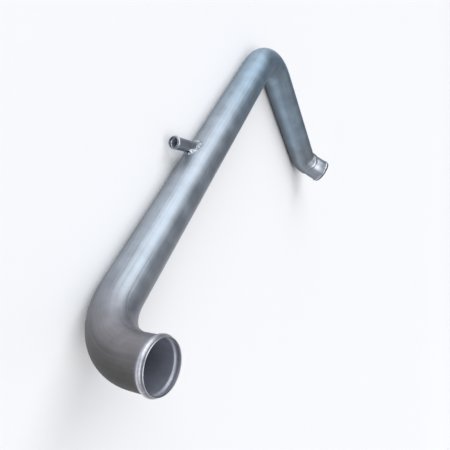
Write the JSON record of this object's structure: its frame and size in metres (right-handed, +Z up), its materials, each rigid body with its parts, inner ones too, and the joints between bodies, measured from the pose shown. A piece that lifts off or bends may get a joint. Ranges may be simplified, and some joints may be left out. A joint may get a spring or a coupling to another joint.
{
  "type": "water transfer tube",
  "caption": "Bent aluminium coolant tube with a beaded hose end at each mouth, one end necked down, and a small welded hose branch.",
  "frame": {"origin": "on the surface that the tube lies on, under the middle of its box", "axes": "+Y along the long run, away from the near bend; +Z up, the way the near mouth points; +X across, the way the far leg runs from the long run"},
  "size_m": [0.4842, 0.8732, 0.1494],
  "materials": {
    "satin_aluminium": "satin drawn tube, lightly etched",
    "branch_aluminium": "satin drawn tube",
    "weld_aluminium": "as welded, bright rippled fillet"
  },
  "bodies": {
    "root": {"main_tube": "satin_aluminium", "branch_tube": "branch_aluminium", "branch_weld": "weld_aluminium"}
  },
  "joints": []
}
